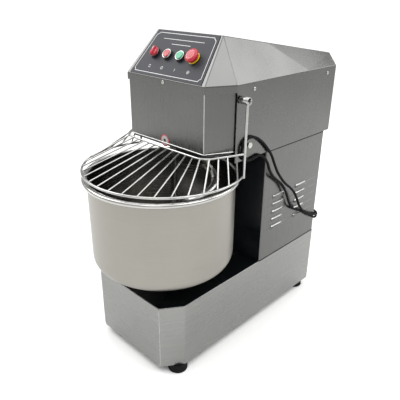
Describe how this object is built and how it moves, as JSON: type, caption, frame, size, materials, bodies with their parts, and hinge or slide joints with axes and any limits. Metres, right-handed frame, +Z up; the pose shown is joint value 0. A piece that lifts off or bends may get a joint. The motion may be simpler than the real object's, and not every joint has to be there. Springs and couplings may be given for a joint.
{
  "type": "spiral dough mixer",
  "caption": "Floor-standing spiral dough mixer: driven bowl and spiral hook, wire bowl guard that lifts, sloped control panel, louvred steel cabinet and mains cord.",
  "frame": {"origin": "on the floor, under the middle of the machine's bounding box measured without the mains cord", "axes": "+X to the right seen from the front; +Y to the rear, so the bowl faces -Y; +Z up"},
  "size_m": [0.4436, 0.8703, 0.886],
  "materials": {
    "stainless": "brushed sheet",
    "black_paint": "gloss",
    "deck_paint": "satin",
    "frame_paint": "satin",
    "foot_rubber": "matte",
    "zinc_screw": "turned",
    "panel_paint": "satin",
    "black_plastic": "fine texture",
    "red_plastic": "gloss",
    "green_plastic": "gloss",
    "stem_plastic": "smooth",
    "bowl_steel": "spun satin",
    "tool_steel": "satin",
    "wire_steel": "polished wire",
    "drive_iron": "machined",
    "drive_steel": "turned",
    "belt_rubber": "matte",
    "chain_steel": "oiled",
    "box_plastic": "smooth",
    "cord_rubber": "matte"
  },
  "bodies": {
    "machine": {"base_housing": "stainless", "column_side_right": "stainless", "column_side_left": "stainless", "column_rear_panel": "stainless", "head_cover": "stainless", "nose_shell": "stainless", "head_underside": "stainless", "column_front_panel": "black_paint", "base_deck": "deck_paint", "base_frame": "frame_paint", "machine_frame": "frame_paint", "motor_body": "frame_paint", "foot_front_left": "foot_rubber", "foot_front_right": "foot_rubber", "foot_rear_left": "foot_rubber", "foot_rear_right": "foot_rubber", "cover_screw_front": "zinc_screw", "cover_screw_left_front": "zinc_screw", "cover_screw_left_rear": "zinc_screw", "cover_screw_right_front": "zinc_screw", "cover_screw_right_rear": "zinc_screw", "cord_stud": "zinc_screw", "guard_switch": "zinc_screw", "control_plate": "panel_paint", "selector_collar": "black_plastic", "stop_collar": "black_plastic", "start_collar": "black_plastic", "emergency_collar": "black_plastic", "breaker_bar": "tool_steel", "bowl_bearing_housing": "drive_iron", "spindle_housing": "drive_iron", "bowl_bearing": "drive_steel", "spindle_bearing": "drive_steel", "guard_shaft": "drive_steel", "countershaft_bearing_lower": "drive_steel", "countershaft_bearing_upper": "drive_steel", "drive_belt": "belt_rubber", "spindle_chain": "chain_steel", "reducer_chain": "chain_steel", "bowl_chain": "chain_steel", "control_box": "box_plastic", "cord_gland": "cord_rubber", "power_cord": "cord_rubber", "cord_coil": "cord_rubber", "cord_tie": "cord_rubber", "plug": "cord_rubber"},
    "guard": {"bowl_guard": "wire_steel"},
    "bowl": {"bowl": "bowl_steel", "bowl_hub": "drive_iron"},
    "spindle": {"spiral_hook": "tool_steel", "spindle_shaft": "tool_steel"},
    "countershaft": {"countershaft": "drive_steel", "belt_pulley": "drive_iron"},
    "reducer": {"reducer_shaft": "drive_steel"},
    "motor_rotor": {"motor_shaft": "drive_steel"},
    "selector": {"selector_knob": "red_plastic"},
    "stop_button": {"stop_button": "red_plastic"},
    "start_button": {"start_button": "green_plastic"},
    "emergency_stem": {"emergency_stem": "stem_plastic"},
    "emergency_head": {"emergency_head": "red_plastic"}
  },
  "joints": [
    {"name": "guard_lift", "type": "hinge", "parent": "machine", "child": "guard", "pos_m": [0, -0.066, 0.745], "axis": [-1, 0, 0], "range_deg": [0, 80]},
    {"name": "bowl_spin", "type": "hinge", "parent": "machine", "child": "bowl", "pos_m": [0, -0.164, 0.2], "axis": [0, 0, 1], "continuous": true},
    {"name": "spindle_spin", "type": "hinge", "parent": "machine", "child": "spindle", "pos_m": [0.072, -0.07, 0.2], "axis": [0, 0, 1], "continuous": true},
    {"name": "countershaft_spin", "type": "hinge", "parent": "machine", "child": "countershaft", "pos_m": [0, 0.1, 0.2], "axis": [0, 0, 1], "continuous": true},
    {"name": "reducer_spin", "type": "hinge", "parent": "machine", "child": "reducer", "pos_m": [0, -0.01, 0.2], "axis": [0, 0, 1], "continuous": true},
    {"name": "motor_spin", "type": "hinge", "parent": "machine", "child": "motor_rotor", "pos_m": [0, 0.256, 0.2], "axis": [0, 0, 1], "continuous": true},
    {"name": "selector_turn", "type": "hinge", "parent": "machine", "child": "selector", "pos_m": [-0.07125, -0.10935, 0.82996], "axis": [0, -0.7605, 0.6493], "range_deg": [-45, 45]},
    {"name": "stop_press", "type": "slide", "parent": "machine", "child": "stop_button", "axis": [0, 0.7605, -0.6493], "range_m": [0, 0.003], "stiffness_N_per_m": 400, "springref_m": -0.002},
    {"name": "start_press", "type": "slide", "parent": "machine", "child": "start_button", "axis": [0, 0.7605, -0.6493], "range_m": [0, 0.003], "stiffness_N_per_m": 400, "springref_m": -0.002},
    {"name": "emergency_press", "type": "slide", "parent": "machine", "child": "emergency_stem", "axis": [0, 0.7605, -0.6493], "range_m": [0, 0.0035]},
    {"name": "emergency_twist", "type": "hinge", "parent": "emergency_stem", "child": "emergency_head", "pos_m": [0.07125, -0.10935, 0.82996], "axis": [0, -0.7605, 0.6493], "range_deg": [0, 30], "stiffness_Nm_per_rad": 0.05, "springref_deg": -5.73}
  ],
  "couplings": [
    {"joint": "reducer_spin", "follows": "bowl_spin", "ratio": 5},
    {"joint": "spindle_spin", "follows": "bowl_spin", "ratio": 8.5},
    {"joint": "countershaft_spin", "follows": "bowl_spin", "ratio": 21.25},
    {"joint": "motor_spin", "follows": "bowl_spin", "ratio": 53.125}
  ]
}
